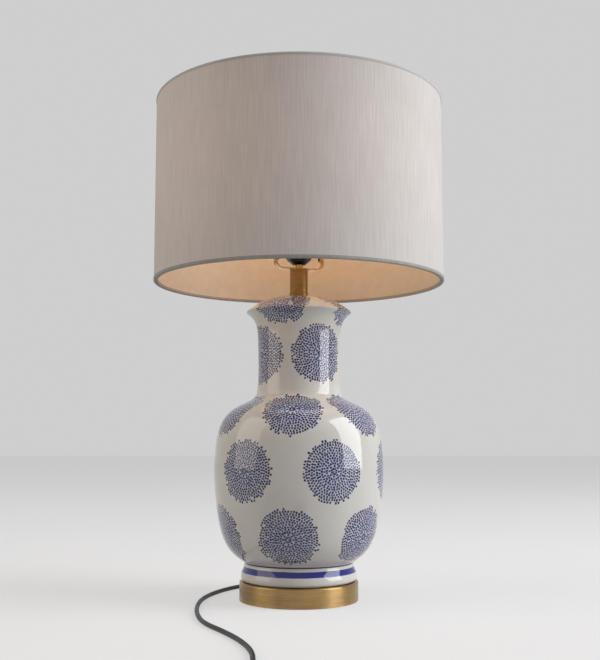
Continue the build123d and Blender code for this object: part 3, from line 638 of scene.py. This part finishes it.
# ---------------------------------------- mesh makers
def new_piece(name, points, faces, material, body, crease=35.0):
    """A piece from points in millimetres, which rides on a body. It shades smoothly up to a crease."""
    mesh = bpy.data.meshes.new(name)
    mesh.from_pydata([tuple(value * MM for value in point) for point in points], [], faces)
    mesh.materials.append(material)
    finish_mesh(mesh, crease)
    piece = in_scene(name, mesh)
    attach(piece, body)
    return piece


def finish_mesh(mesh, crease):
    """Shades a mesh smoothly, but for edges sharper than crease degrees."""
    mesh.polygons.foreach_set("use_smooth", [True] * len(mesh.polygons))
    mesh.set_sharp_from_angle(angle=math.radians(crease))
    mesh.update()


def smooth_line(points, step):
    """Points every step millimetres along a natural cubic spline through (radius, height) points."""
    points = np.array(points, float)
    lengths = np.hypot(*np.diff(points, axis=0).T)
    count = len(points)
    matrix = np.eye(count)
    right = np.zeros((count, 2))
    for i in range(1, count - 1):
        before, after = lengths[i - 1], lengths[i]
        matrix[i, i - 1:i + 2] = (before, 2 * (before + after), after)
        slope = (points[i + 1] - points[i]) / after - (points[i] - points[i - 1]) / before
        right[i] = 6 * slope
    bend = np.linalg.solve(matrix, right)
    line = []
    for i in range(count - 1):
        length = lengths[i]
        for t in np.linspace(0, 1, max(2, int(math.ceil(length / step)) + 1))[:-1]:
            low, high = 1 - t, t
            line.append(
                low * points[i] + high * points[i + 1]
                + ((low ** 3 - low) * bend[i] + (high ** 3 - high) * bend[i + 1]) * length ** 2 / 6
            )
    return [tuple(point) for point in line] + [tuple(points[-1])]


def ring_faces(rings, sides, closed=True):
    """The faces between rings of points, and between the last ring and the first one if closed."""
    faces = []
    for i in range(rings if closed else rings - 1):
        j = (i + 1) % rings
        for k in range(sides):
            m = (k + 1) % sides
            faces.append((i * sides + k, i * sides + m, j * sides + m, j * sides + k))
    return faces


def around_axis(outline, sides, closed=True):
    """The points and faces of a shape turned about the lamp's axis, from (radius, height) points.

    The outline goes anticlockwise as seen with the radius to the right, so that its faces point outwards.
    """
    angles = np.linspace(0, 2 * math.pi, sides, endpoint=False)
    points = [(r * math.cos(a), r * math.sin(a), z) for r, z in outline for a in angles]
    return points, ring_faces(len(outline), sides, closed)


def arc(centre, radius, start, end, steps):
    """(radius, height) points on an arc, in degrees from the radius direction."""
    return [
        (centre[0] + radius * math.cos(math.radians(a)), centre[1] + radius * math.sin(math.radians(a)))
        for a in np.linspace(start, end, steps)
    ]


def new_tube(name, points, radius, material, body):
    """A round cord along a smooth spline whose control points are given, in millimetres."""
    curve = bpy.data.curves.new(name, "CURVE")
    curve.dimensions = "3D"
    spline = curve.splines.new("NURBS")
    spline.points.add(len(points) - 1)
    for point, (x, y, z) in zip(spline.points, points):
        point.co = (x * MM, y * MM, z * MM, 1)
    spline.order_u = 3
    spline.use_endpoint_u = True
    spline.resolution_u = 6
    curve.bevel_depth = radius * MM
    curve.bevel_resolution = 5
    curve.use_fill_caps = True
    curve.materials.append(material)
    piece = in_scene(name, curve)
    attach(piece, body)
    return piece


def outward(mesh):
    """Merges a closed mesh's doubles and turns its faces outwards."""
    work = bmesh.new()
    work.from_mesh(mesh)
    bmesh.ops.remove_doubles(work, verts=work.verts, dist=0.001 * MM)
    bmesh.ops.recalc_face_normals(work, faces=work.faces)
    work.to_mesh(mesh)
    work.free()


# ---------------------------------------- what repeats, by geometry nodes
def shape_tree(name, **inputs):
    """A geometry tree with named inputs of given kinds, and one mesh as its output."""
    tree = bpy.data.node_groups.new(name, "GeometryNodeTree")
    for label, kind in inputs.items():
        tree.interface.new_socket(label.replace("_", " "), in_out="INPUT", socket_type="NodeSocket" + kind)
    tree.interface.new_socket("Mesh", in_out="OUTPUT", socket_type="NodeSocketGeometry")
    return tree, tree.nodes.new("NodeGroupInput").outputs, tree.nodes.new("NodeGroupOutput").inputs["Mesh"]


def in_metres(tree, socket):
    """A vector in millimetres as one in metres."""
    return joined(tree, *axes_of(tree, socket, MM))


def round_bar(tree, curve, thickness, sides):
    """A bar of a round or, with 3 sides, a ridged section along a curve."""
    section = placed(tree, "GeometryNodeCurvePrimitiveCircle", Resolution=sides, Radius=thickness)
    bar = placed(tree, "GeometryNodeCurveToMesh", Curve=curve, Profile_Curve=section.outputs["Curve"],
                 Fill_Caps=True)
    return bar.outputs["Mesh"]


def finished(tree, geometry, material, way_out):
    """Ends a tree with real meshes in one material."""
    real = placed(tree, "GeometryNodeRealizeInstances", Geometry=geometry)
    coated = placed(tree, "GeometryNodeSetMaterial", Geometry=real.outputs["Geometry"], Material=material)
    tree.links.new(coated.outputs["Geometry"], way_out)


def ribs_tree(material):
    """Upright ribs in a straight row."""
    tree, given, way_out = shape_tree(
        "ribs in a row", Count="Int", First_mm="Vector", Gap_mm="Vector", Length_mm="Float",
        Thickness_mm="Float")
    half = Number(tree, given["Length mm"]) * (MM / 2)
    line = placed(tree, "GeometryNodeCurvePrimitiveLine", Start=joined(tree, 0.0, 0.0, half * -1.0),
                  End=joined(tree, 0.0, 0.0, half))
    rib = round_bar(tree, line.outputs["Curve"], Number(tree, given["Thickness mm"]) * MM, 10)
    row = placed(tree, "GeometryNodeMeshLine", Count=given["Count"],
                 Start_Location=in_metres(tree, given["First mm"]), Offset=in_metres(tree, given["Gap mm"]))
    ribs = placed(tree, "GeometryNodeInstanceOnPoints", Points=row.outputs["Mesh"], Instance=rib)
    finished(tree, ribs.outputs["Instances"], material, way_out)
    return tree


def collars_tree(material):
    """Rings round a tapered sleeve that lies along Y, each a little smaller than the last."""
    tree, given, way_out = shape_tree(
        "collars on a taper", Count="Int", First_mm="Vector", Gap_mm="Float", First_radius_mm="Float",
        Last_radius_mm="Float", Thickness_mm="Float")
    first, last = (Number(tree, given[label]) for label in ("First radius mm", "Last radius mm"))
    circle = placed(tree, "GeometryNodeCurvePrimitiveCircle", Resolution=32, Radius=first * MM)
    collar = round_bar(tree, circle.outputs["Curve"], Number(tree, given["Thickness mm"]) * MM, 8)
    along = joined(tree, 0.0, Number(tree, given["Gap mm"]) * MM, 0.0)
    row = placed(tree, "GeometryNodeMeshLine", Count=given["Count"],
                 Start_Location=in_metres(tree, given["First mm"]), Offset=along)
    index = Number(tree, tree.nodes.new("GeometryNodeInputIndex").outputs["Index"])
    share = index / (Number(tree, given["Count"]) - 1.0)
    size = share * ((last - first) / first) + 1.0
    collars = placed(tree, "GeometryNodeInstanceOnPoints", Points=row.outputs["Mesh"], Instance=collar,
                     Rotation=(math.pi / 2, 0.0, 0.0), Scale=joined(tree, size, size, 1.0))
    finished(tree, collars.outputs["Instances"], material, way_out)
    return tree


def thread_tree(material):
    """A sharp ridge that winds up round the lamp's axis."""
    tree, given, way_out = shape_tree(
        "screw thread", Turns="Float", Pitch_mm="Float", Radius_mm="Float", Ridge_mm="Float",
        Start_mm="Float")
    turns, radius = Number(tree, given["Turns"]), Number(tree, given["Radius mm"]) * MM
    spiral = placed(tree, "GeometryNodeCurveSpiral", Resolution=40, Rotations=turns, Start_Radius=radius,
                    End_Radius=radius, Height=turns * Number(tree, given["Pitch mm"]) * MM)
    ridge = round_bar(tree, spiral.outputs["Curve"], Number(tree, given["Ridge mm"]) * MM, 3)
    start = joined(tree, 0.0, 0.0, Number(tree, given["Start mm"]) * MM)
    lifted = placed(tree, "GeometryNodeTransform", Geometry=ridge, Translation=start)
    finished(tree, lifted.outputs["Geometry"], material, way_out)
    return tree


def grown(name, tree, body, values, crease=40.0):
    """A piece whose mesh a geometry tree makes from named values."""
    seed = in_scene(name, bpy.data.meshes.new(name))
    modifier = seed.modifiers.new("shape", "NODES")
    modifier.node_group = tree
    for item in tree.interface.items_tree:
        if item.in_out == "INPUT":
            modifier[item.identifier] = values[item.name]
    graph = bpy.context.evaluated_depsgraph_get()
    mesh = bpy.data.meshes.new_from_object(seed.evaluated_get(graph))
    seed.modifiers.remove(modifier)
    seed.data = mesh
    outward(mesh)
    finish_mesh(mesh, crease)
    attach(seed, body)
    return seed


# ---------------------------------------- cord, coil, tie and plug
CORD_DIAMETER = 5.0
CORD_RADIUS = CORD_DIAMETER / 2
EXIT_HEIGHT = 9.0
EXIT_REACH = 91.5
COIL_CENTRE = (1.0, -421.0)
COIL_TURNS = 6.25
COIL_PITCH = 5.75
COIL_MIDDLE_RADIUS = 28.4
COIL_START_RADIUS = COIL_MIDDLE_RADIUS + COIL_PITCH * COIL_TURNS / 4
COIL_INNER_RADIUS = COIL_START_RADIUS - COIL_PITCH * COIL_TURNS / 2
COIL_LOW = 1.0 + CORD_RADIUS
COIL_RISE = 5.5
COIL_HIGH = COIL_LOW + COIL_RISE
COIL_TAIL_START = 8.0
COIL_TAIL = 21.0
COIL_START = (COIL_CENTRE[0] - COIL_START_RADIUS, COIL_CENTRE[1] + CORD_DIAMETER)
# Points of the cord's middle, in plan, where it lies on the table.
TABLE_ROUTE = [
    (-45.3, 121.6), (-63.5, 101), (-84.5, 75.5), (-103, 38), (-114.6, -8), (-115.6, -58), (-110.5, -108),
    (-99, -158), (-74, -203), (-54, -247), (-41, -293), (-38.2, -338),
]
CORD_ROUTE = [
    (0, EXIT_REACH, EXIT_HEIGHT), (0, 105.5, EXIT_HEIGHT), (-6.6, 118, 7.2), (-18.4, 125.7, 4.6),
    (-32.4, 127, 3), *((x, y, CORD_RADIUS) for x, y in TABLE_ROUTE),
    (COIL_START[0], COIL_START[1] + 38, COIL_LOW), (*COIL_START, COIL_LOW),
]
STEPS_PER_TURN = 16


def coil_point(turn):
    """A point of the two-layer coil, which winds in, climbs in its middle half turn and winds out."""
    middle = turn - COIL_TURNS / 2
    radius = COIL_INNER_RADIUS + COIL_PITCH * abs(middle)
    climbed = 0.0 if middle < 0 else 1.0
    if abs(middle) < 0.25:
        radius += COIL_PITCH * (2 * middle ** 2 - abs(middle) + 0.125)
        climbed = 0.5 + 0.5 * math.sin(2 * math.pi * middle)
    # The spline cuts inside its control points, so they stand out by as much.
    radius /= 0.75 + 0.25 * math.cos(2 * math.pi / STEPS_PER_TURN)
    angle = math.pi + 2 * math.pi * turn
    return (
        COIL_CENTRE[0] + radius * math.cos(angle),
        COIL_CENTRE[1] + radius * math.sin(angle),
        COIL_LOW + climbed * COIL_RISE,
    )


def supply_cord():
    """The whole cord, from the strain relief to the plug, as one spline."""
    coil = [coil_point(step / STEPS_PER_TURN) for step in range(int(COIL_TURNS * STEPS_PER_TURN) + 1)]
    end_y = COIL_CENTRE[1] - COIL_START_RADIUS
    tail = [(COIL_CENTRE[0] + reach, end_y, COIL_HIGH) for reach in (COIL_TAIL_START, COIL_TAIL)]
    route = CORD_ROUTE + coil + tail
    return new_tube("supply_cord", route, CORD_RADIUS, CORD_PLASTIC, "lamp")


cord = supply_cord()
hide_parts("cord_run", "cord_coil")


TIE_AZIMUTH = 320
TIE_BEND = 3.2
TIE_GAP = 1.3
TIE_LIFT = 0.45
# (across the strap, out from the coil), round its rounded edges and slightly crowned middle
TIE_SECTION = [
    (-3.7, 0.28), (-3.9, 0.0), (-3.7, -0.28), (3.7, -0.28), (3.9, 0.0), (3.7, 0.28),
    (1.2, 0.42), (-1.2, 0.42),
]


def coil_tie():
    """A soft strap in a closed loop round the coil's turns, with rounded edges."""
    low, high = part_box("cord_tie")
    angle = math.radians(TIE_AZIMUTH)
    along = Vector((math.cos(angle), math.sin(angle), 0))
    across = Vector((-along.y, along.x, 0))
    centre = Vector((COIL_CENTRE[0], COIL_CENTRE[1], 0))
    near = COIL_INNER_RADIUS - CORD_RADIUS - TIE_GAP + TIE_BEND
    far = COIL_START_RADIUS + CORD_RADIUS + TIE_GAP - TIE_BEND
    base = low.z / MM + TIE_LIFT + TIE_BEND
    top = high.z / MM - TIE_LIFT - TIE_BEND
    loop = []
    for middle, start in (((far, top), 0), ((near, top), 90), ((near, base), 180), ((far, base), 270)):
        loop += arc(middle, TIE_BEND, start, start + 90, 7)
    points = []
    for i, (reach, height) in enumerate(loop):
        before, after = loop[i - 1], loop[(i + 1) % len(loop)]
        tangent = Vector((after[0] - before[0], after[1] - before[1])).normalized()
        normal = Vector((tangent.y, -tangent.x))
        for side, lift in TIE_SECTION:
            spot = centre + along * (reach + normal.x * lift) + across * side
            points.append((spot.x, spot.y, height + normal.y * lift))
    faces = ring_faces(len(loop), len(TIE_SECTION))
    strap = new_piece("coil_tie", points, faces, TIE_PLASTIC, "lamp")
    outward(strap.data)
    return strap


tie = coil_tie()
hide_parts("cord_tie")


def plug_grips():
    """Upright ribs on both sides of the plug, where fingers pull it from the wall."""
    low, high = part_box("plug_body")
    first = high.x / MM - 24.0
    middle = (low.z + high.z) / 2 / MM
    sides = []
    for name, side in (("plug_grip_front", low.y / MM), ("plug_grip_back", high.y / MM)):
        sides.append(grown(name, ribs_tree(PLUG_PLASTIC), "lamp", {
            "Count": 6, "First mm": (first, side, middle), "Gap mm": (2.8, 0.0, 0.0),
            "Length mm": 6.5, "Thickness mm": 0.7,
        }))
    return sides


grips = plug_grips()
grown("strain_relief_collars", collars_tree(RUBBER), "lamp", {
    "Count": 6, "First mm": (0.0, 75.8, EXIT_HEIGHT), "Gap mm": 2.5,
    "First radius mm": 4.72, "Last radius mm": 3.67, "Thickness mm": 0.55,
})


# ---------------------------------------- jar
FOOT_OUTLINE = [(66.0, 23.3), (68.6, 25.2), (69.4, 28.8), (68.6, 33.0), (66.6, 37.6), (65.2, 44.6)]
BELLY_OUTLINE = [
    (65.2, 44.6), (75.8, 52.5), (84.6, 62.0), (92.0, 77.0), (97.7, 101.0), (101.1, 130.0), (102.0, 156.0),
    (100.8, 181.0), (96.3, 204.0), (88.1, 219.0), (76.6, 228.4), (62.4, 235.4), (53.5, 241.8),
    (50.7, 252.0), (49.6, 280.0), (50.2, 308.0), (52.6, 328.0), (57.2, 337.8), (63.2, 343.4),
]
GROOVE_OUTLINE = [(65.3, 44.0), (64.6, 44.5), (63.9, 45.0), (64.5, 45.3)]
DOME_OUTLINE = [(63.2, 346.4), (54.0, 352.9), (41.0, 359.4), (26.0, 363.2), (13.0, 364.6)]
ROD_HOLE_OUTLINE = [(6.4, 364.6), (5.7, 364.0)]
INSIDE_OUTLINE = [
    (5.7, 359.7), (26.0, 358.2), (40.0, 354.6), (52.0, 348.6), (57.6, 344.6), (52.4, 340.4), (47.6, 329.0),
    (45.2, 308.0), (44.6, 280.0), (45.7, 251.0), (49.4, 238.6), (60.0, 230.9), (74.0, 224.2), (84.4, 215.6),
    (91.7, 202.3), (95.8, 180.0), (97.0, 156.0), (96.1, 130.0), (92.8, 102.0), (87.4, 79.0), (80.6, 65.6),
    (72.5, 56.7), (59.0, 46.0), (56.0, 36.0),
]
UNDER_OUTLINE = [(5.7, 36.0), (5.7, 30.0), (57.0, 30.0), (57.0, 24.0), (57.8, 23.3), (65.2, 23.3)]
LIP_CENTRE = (62.75, 344.9)
LIP_RADIUS = 1.56
LIP_SWEEP = 73
JAR_SIDES = 200
UNPAINTED_RISE = -50.0


def glazed_jar():
    """The cast jar, with its length along the outline kept on its points for the painted pattern."""
    foot = smooth_line(FOOT_OUTLINE, 0.9)
    belly = smooth_line(BELLY_OUTLINE, 1.8)
    lip = arc(LIP_CENTRE, LIP_RADIUS, -LIP_SWEEP, LIP_SWEEP, 8)
    dome = smooth_line(DOME_OUTLINE, 2.0)
    outside = foot[:-1] + GROOVE_OUTLINE + belly[1:-1] + lip + dome[1:] + ROD_HOLE_OUTLINE
    unpainted = INSIDE_OUTLINE + UNDER_OUTLINE
    points, faces = around_axis(outside + unpainted, JAR_SIDES)
    jar = new_piece("glazed_jar", points, faces, GLAZE, "lamp", 60)
    walked = np.concatenate([[0], np.cumsum(np.hypot(*np.diff(np.array(outside), axis=0).T))])
    # The rise starts at the end of the groove.
    walked -= walked[len(foot) + 2]
    rise = np.concatenate([walked, np.full(len(unpainted), UNPAINTED_RISE)])
    layer = jar.data.attributes.new("rise", "FLOAT", "POINT")
    layer.data.foreach_set("value", np.repeat(rise, JAR_SIDES).astype(np.float32))
    return jar


jar = glazed_jar()
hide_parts("ceramic_jar")


# ---------------------------------------- bead round the neck tube's foot
BEAD_OUTLINE = [
    (10.9, 364.95), (11.5, 364.95), (11.72, 365.2), (11.8, 366.4), (11.72, 367.8), (11.45, 369.1),
    (11.1, 369.9), (10.9, 370.0),
]


def tube_bead():
    """The rolled foot of the neck tube, which hides the rubber washer that it stands on."""
    points, faces = around_axis(BEAD_OUTLINE, 96)
    return new_piece("tube_foot_bead", points, faces, FINE_BRASS, "lamp", 50)


tube_bead()


# ---------------------------------------- felt under the base
FELT_RADIUS = 69.4
FELT_THICKNESS = 1.2
# (back from the felt's edge, height)
FELT_EDGE = [(1.2, 0.0), (0.4, 0.12), (0.0, 0.42), (0.05, 0.85), (0.4, 1.1), (1.0, FELT_THICKNESS)]


def felt_disc():
    """The felt glued under the base, its cut edge a little rounded by wear."""
    edge = [(FELT_RADIUS - back, height) for back, height in FELT_EDGE]
    outline = [(0.0, 0.0), *edge, (0.0, FELT_THICKNESS)]
    points, faces = around_axis(outline, 160, closed=False)
    disc = new_piece("felt_disc", points, faces, FELT, "lamp", 60)
    outward(disc.data)
    return disc


felt = felt_disc()
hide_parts("felt_pad")


# ---------------------------------------- rod's thread, where it shows
grown("rod_thread", thread_tree(BRIGHT_BRASS), "lamp", {
    "Turns": 3.0, "Pitch mm": 0.94, "Radius mm": 5.05, "Ridge mm": 0.36, "Start mm": 400.75,
})


# ---------------------------------------- shade
SHADE_BOTTOM = 380.6
SHADE_TOP = 607.1
FABRIC_RADIUS = 177.6
LINEN_OUTSIDE = FABRIC_RADIUS - 0.08
LINEN_THICKNESS = 0.55
LINEN_MARGIN = 1.0
SEAM_AZIMUTH = 90.0
SEAM_OVERLAP = 12.0
SEAM_LIFT = 0.40
SEAM_SLOPE = 3.0


def cloth_map(piece, around, up):
    """Gives a piece its own map, in metres along the cloth, from one pair of values for each corner."""
    layer = piece.data.uv_layers.new(name="cloth")
    corners = np.empty(len(piece.data.loops), np.int32)
    piece.data.loops.foreach_get("vertex_index", corners)
    pairs = np.stack([np.asarray(around)[corners], np.asarray(up)[corners]], axis=1) * MM
    layer.data.foreach_set("uv", pairs.astype(np.float32).ravel())


def linen_cover():
    """The linen laminated round the drum, lapped over itself in one upright seam at the back."""
    columns = 300
    rows = 46
    length = 2 * math.pi * FABRIC_RADIUS
    total = length + SEAM_OVERLAP
    tall = SHADE_TOP - SHADE_BOTTOM - 2 * LINEN_MARGIN
    points, around, up = [], [], []
    for thickness in (0.0, LINEN_THICKNESS):
        for row in range(rows + 1):
            height = SHADE_BOTTOM + LINEN_MARGIN + tall * row / rows
            for column in range(columns + 1):
                walked = total * column / columns
                lap = min(1.0, max(0.0, (walked - length + SEAM_SLOPE) / SEAM_SLOPE))
                radius = LINEN_OUTSIDE + SEAM_LIFT * lap - thickness
                angle = math.radians(SEAM_AZIMUTH) + walked / FABRIC_RADIUS
                points.append((radius * math.cos(angle), radius * math.sin(angle), height))
                around.append(walked)
                up.append(height - SHADE_BOTTOM)
    wide = columns + 1
    faces = []
    back = wide * (rows + 1)
    for row in range(rows):
        for column in range(columns):
            a = row * wide + column
            faces.append((a, a + 1, a + 1 + wide, a + wide))
            faces.append((back + a, back + a + wide, back + a + 1 + wide, back + a + 1))
    for column in range(columns):
        a, b = column, rows * wide + column
        faces.append((a, back + a, back + a + 1, a + 1))
        faces.append((b, b + 1, back + b + 1, back + b))
    for row in range(rows):
        a, b = row * wide, row * wide + columns
        faces.append((a, a + wide, back + a + wide, back + a))
        faces.append((b, back + b, back + b + wide, b + wide))
    cover = new_piece("linen_cover", points, faces, LINEN, "shade")
    cloth_map(cover, around, up)
    return cover


LINER_INSIDE = 176.1
STRIP_OUTER = FABRIC_RADIUS + 0.5
STRIP_ON_LINEN = FABRIC_RADIUS + 0.02
STRIP_INNER = LINER_INSIDE - 3.4
STRIP_THICKNESS = 0.9
INNER_LEG = 3.4
OUTER_ROLL = 1.4
INNER_ROLL = 1.2
BOTTOM_STRIP_TALL = 3.6
TOP_STRIP_TALL = 3.2
STRIP_SIDES = 240


def strip_section(tall):
    """The folded strip's outline, as (radius, distance from the drum's edge) points."""
    section = [(STRIP_OUTER - 0.1, tall), (STRIP_ON_LINEN, tall), (STRIP_ON_LINEN, STRIP_THICKNESS)]
    section += [(STRIP_INNER + 0.6, STRIP_THICKNESS), (STRIP_INNER + 0.6, INNER_LEG)]
    section += [(STRIP_INNER + 0.1, INNER_LEG)]
    section += arc((STRIP_INNER + INNER_ROLL, INNER_ROLL), INNER_ROLL, 180, 270, 6)
    return section + arc((STRIP_OUTER - OUTER_ROLL, OUTER_ROLL), OUTER_ROLL, 270, 360, 6)


def edge_strip(name, material, section):
    """A folded strip of linen that wraps an edge of the drum and its hoop."""
    points, faces = around_axis(section, STRIP_SIDES)
    strip = new_piece(name, points, faces, material, "shade", 50)
    walked = np.concatenate([[0], np.cumsum([math.dist(a, b) for a, b in zip(section, section[1:])])])
    up = np.repeat(walked, STRIP_SIDES)
    around = np.tile(np.arange(STRIP_SIDES) * 2 * math.pi * FABRIC_RADIUS / STRIP_SIDES, len(section))
    cloth_map(strip, around, up)
    return strip


cover = linen_cover()
at_bottom = [(radius, SHADE_BOTTOM + height) for radius, height in strip_section(BOTTOM_STRIP_TALL)]
bottom_strip = edge_strip("bottom_edge_strip", SHADED_LINEN_EDGE, at_bottom)
# Turned over, the outline is taken backwards, so that it still goes anticlockwise.
first, *others = strip_section(TOP_STRIP_TALL)
at_top = [(radius, SHADE_TOP - depth) for radius, depth in (first, *reversed(others))]
top_strip = edge_strip("top_edge_strip", LINEN_FOLD, at_top)
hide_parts("shade_fabric")
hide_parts("shade_bottom_trim")
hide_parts("shade_top_trim")


# ---------------------------------------- finishes of the CAD's own pieces
FINISHES = [
    (BRASS, "base_cup", "finial"),
    (FINE_BRASS, "neck_tube", "check_ring"),
    (BRIGHT_BRASS, "harp_saddle", "harp_wire", "harp_stud", "harp_sleeve_left", "harp_sleeve_right",
     "threaded_rod", "cap_bushing", "centre_contact", "terminal_screws", "plug_blades"),
    (STEEL, "bottom_washer", "lock_washer", "bottom_nut", "set_screw", "switch_shaft"),
    (NICKEL, "screw_shell", "bulb_screw_base", "bulb_contact"),
    (RUBBER, "foot_gasket", "seat_washer", "strain_relief"),
    (PHENOLIC, "socket_cap", "switch_knob"),
    (LACQUER, "socket_shell"),
    (CARD, "socket_liner"),
    (HARDBOARD, "base_board"),
    (PORCELAIN, "socket_body"),
    (BLACK_GLASS, "bulb_insulator"),
    (STYRENE, "shade_liner"),
    (COATED_WIRE, "shade_bottom_ring", "shade_top_ring", "shade_spider"),
    (LIT_GLASS, "bulb_envelope"),
    (CORD_PLASTIC, "inner_lead"),
    (PLUG_PLASTIC, "plug_body"),
]
for material, *names in FINISHES:
    for name in names:
        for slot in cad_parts[name].material_slots:
            slot.material = material
